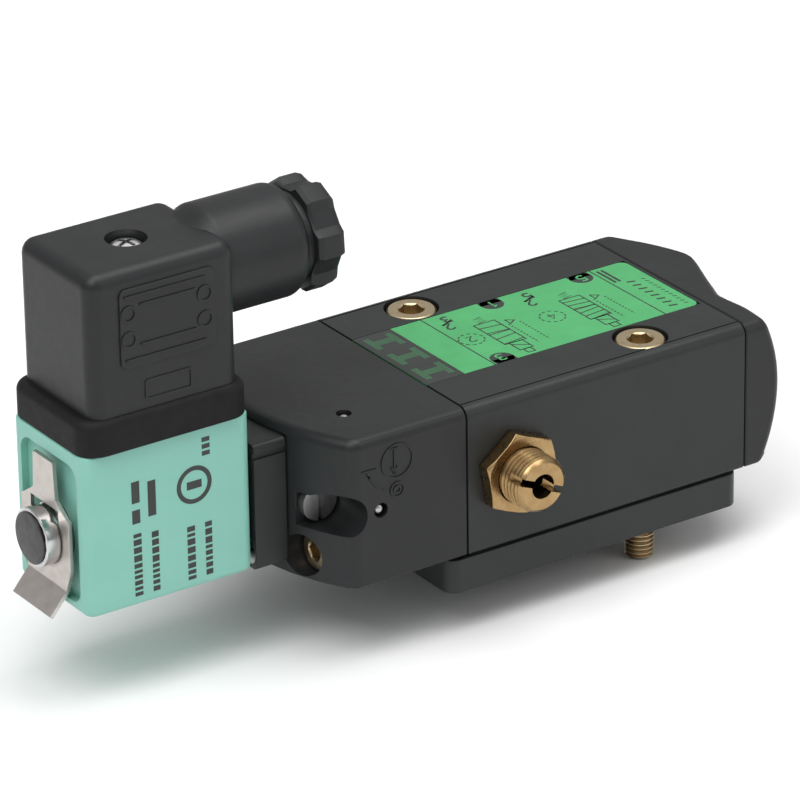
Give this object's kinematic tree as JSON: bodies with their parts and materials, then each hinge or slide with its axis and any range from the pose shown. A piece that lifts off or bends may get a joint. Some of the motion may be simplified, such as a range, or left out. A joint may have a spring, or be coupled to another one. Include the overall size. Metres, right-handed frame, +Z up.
{
  "type": "solenoid directional valve",
  "caption": "Pneumatic solenoid spool valve with a flange face for actuators, a green pilot coil, a plug connector with cable gland, and a brass exhaust reducer.",
  "frame": {"origin": "centre of the mounting face, on the underside of the interface plate", "axes": "+X along the spool from the solenoid towards the end cap, -Y towards the exhaust reducer, +Z up, away from the mounting face"},
  "size_m": [0.1365, 0.053, 0.077],
  "materials": {
    "body_black": "fine satin black coating",
    "plastic_black": "moulded glass-filled black polyamide",
    "rubber_black": "matt nitrile rubber",
    "zinc_yellow": "yellow-passivated zinc plate",
    "brass": "machined brass",
    "steel": "machined stainless steel",
    "chrome": "polished stainless steel",
    "mint": "satin mint green moulding",
    "label_green": "printed green film label",
    "copper": "enamelled copper wire",
    "nylon": "natural nylon",
    "blue_grey": "acetal"
  },
  "bodies": {
    "valve": {"valve_body": "body_black", "plate_gasket": "rubber_black", "interface_plate": "body_black", "namur_seals": "rubber_black", "mounting_screws": "zinc_yellow", "label_plate": "label_green", "pilot_head": "plastic_black", "head_gasket": "rubber_black", "head_screws": "zinc_yellow", "sealing_balls": "steel", "end_cap": "plastic_black", "cap_gasket": "rubber_black", "end_cap_screws": "zinc_yellow", "return_spring": "steel", "pilot_body": "plastic_black", "pilot_gasket": "rubber_black", "pilot_screws": "steel", "pilot_nozzle": "brass", "core_tube": "chrome", "fixed_core": "chrome", "plunger_spring": "steel", "retaining_clip": "chrome"},
    "spool": {"spool": "steel", "spool_seals": "rubber_black", "pilot_piston": "blue_grey", "piston_seal": "rubber_black"},
    "operator": {"manual_operator": "steel", "operator_seal": "rubber_black"},
    "plunger": {"plunger": "steel", "plunger_seal": "rubber_black"},
    "coil_unit": {"coil": "mint", "coil_bobbin": "nylon", "coil_winding": "copper", "coil_yoke": "steel", "coil_terminals": "steel", "connector_gasket": "rubber_black", "connector_housing": "plastic_black", "connector_insert": "plastic_black", "contact_sockets": "brass", "terminal_screws": "steel", "connector_screw": "steel", "gland_seal": "rubber_black", "gland_washer": "nylon"},
    "gland_nut": {"gland_nut": "plastic_black"},
    "reducer": {"exhaust_reducer": "brass"},
    "locknut": {"reducer_locknut": "brass"}
  },
  "joints": [
    {"name": "spool_slide", "type": "slide", "parent": "valve", "child": "spool", "axis": [1, 0, 0], "range_m": [0, 0.0044], "stiffness_N_per_m": 1500, "springref_m": -0.004, "deforming": ["return_spring"]},
    {"name": "plunger_slide", "type": "slide", "parent": "valve", "child": "plunger", "axis": [-1, 0, 0], "range_m": [0, 0.0008], "stiffness_N_per_m": 1200, "springref_m": -0.002, "deforming": ["plunger_spring"]},
    {"name": "operator_turn", "type": "hinge", "parent": "valve", "child": "operator", "pos_m": [-0.0504, -0.013, 0.0193], "axis": [0, -1, 0], "range_deg": [0, 90]},
    {"name": "coil_swivel", "type": "hinge", "parent": "valve", "child": "coil_unit", "pos_m": [-0.07685, 0, 0.0205], "axis": [1, 0, 0], "continuous": true},
    {"name": "gland_nut_turn", "type": "hinge", "parent": "coil_unit", "child": "gland_nut", "pos_m": [-0.0436, 0, 0.0602], "axis": [1, 0, 0], "continuous": true},
    {"name": "reducer_turn", "type": "hinge", "parent": "valve", "child": "reducer", "pos_m": [-0.018, -0.025, 0.0194], "axis": [0, -1, 0], "continuous": true},
    {"name": "locknut_turn", "type": "hinge", "parent": "valve", "child": "locknut", "pos_m": [-0.018, -0.0238, 0.0194], "axis": [0, -1, 0], "continuous": true}
  ]
}
